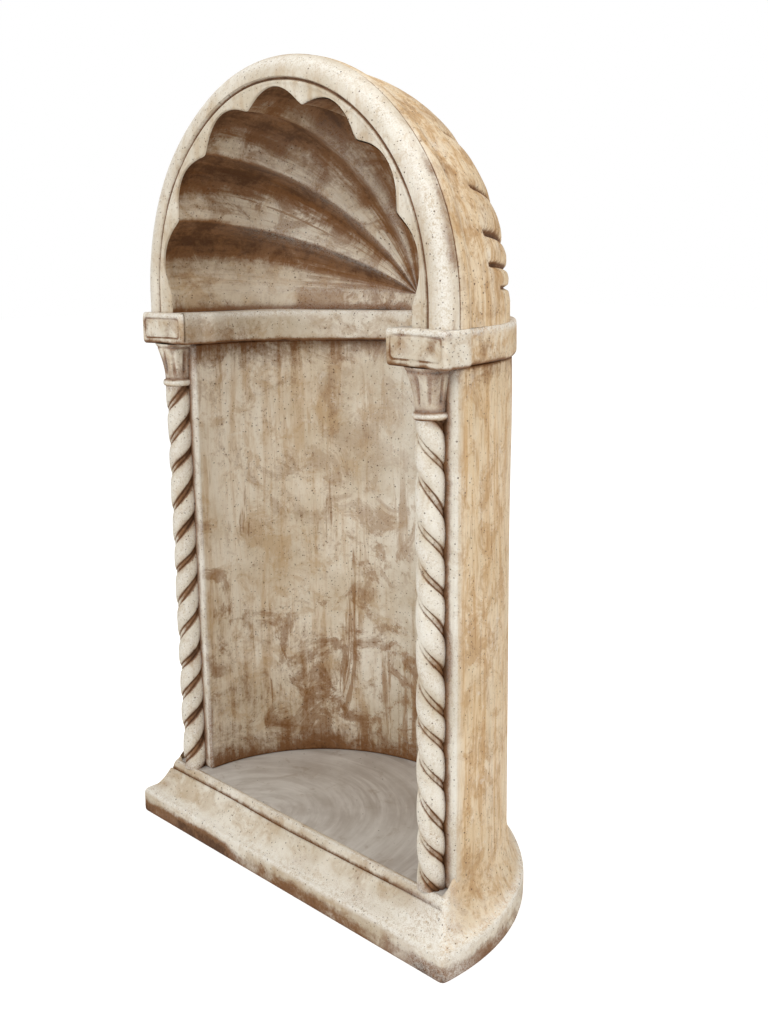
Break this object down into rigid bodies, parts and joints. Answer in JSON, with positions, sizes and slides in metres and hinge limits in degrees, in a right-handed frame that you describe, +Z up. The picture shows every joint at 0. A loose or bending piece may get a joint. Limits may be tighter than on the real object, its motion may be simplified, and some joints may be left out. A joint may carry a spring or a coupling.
{
  "type": "statue niche",
  "caption": "Free-standing half-round niche for a statue, with a moulded plinth, twisted columns, an impost band and a fluted shell half dome behind a round arch.",
  "frame": {"origin": "on the ground, at the middle of the arch's front plane", "axes": "+Z up, +Y from the open front to the back, +X to the right seen from the front"},
  "size_m": [0.63, 0.341, 1.059],
  "materials": {
    "cast_stone": "pale cast stone with a brown antiquing wash in the hollows",
    "floor_cement": "grey trowelled cement"
  },
  "bodies": {
    "root": {"arch_crown": "cast_stone", "arch_left": "cast_stone", "arch_right": "cast_stone", "band_left": "cast_stone", "band_rear": "cast_stone", "band_rear_left": "cast_stone", "band_rear_right": "cast_stone", "band_right": "cast_stone", "floor_slab": "floor_cement", "front_sill": "cast_stone", "left_capital": "cast_stone", "left_column_neck": "cast_stone", "left_column_shaft": "cast_stone", "left_dome_course": "cast_stone", "left_impost_block": "cast_stone", "left_jamb": "cast_stone", "right_capital": "cast_stone", "right_column_neck": "cast_stone", "right_column_shaft": "cast_stone", "right_dome_course": "cast_stone", "right_impost_block": "cast_stone", "right_jamb": "cast_stone", "shell_gore_1": "cast_stone", "shell_gore_2": "cast_stone", "shell_gore_3": "cast_stone", "shell_gore_4": "cast_stone", "shell_gore_5": "cast_stone", "shell_gore_6": "cast_stone", "shell_gore_7": "cast_stone", "shell_hinge": "cast_stone", "skirt_left": "cast_stone", "skirt_rear": "cast_stone", "skirt_rear_left": "cast_stone", "skirt_rear_right": "cast_stone", "skirt_right": "cast_stone", "wall_left": "cast_stone", "wall_rear": "cast_stone", "wall_rear_left": "cast_stone", "wall_rear_right": "cast_stone", "wall_right": "cast_stone"}
  },
  "joints": []
}
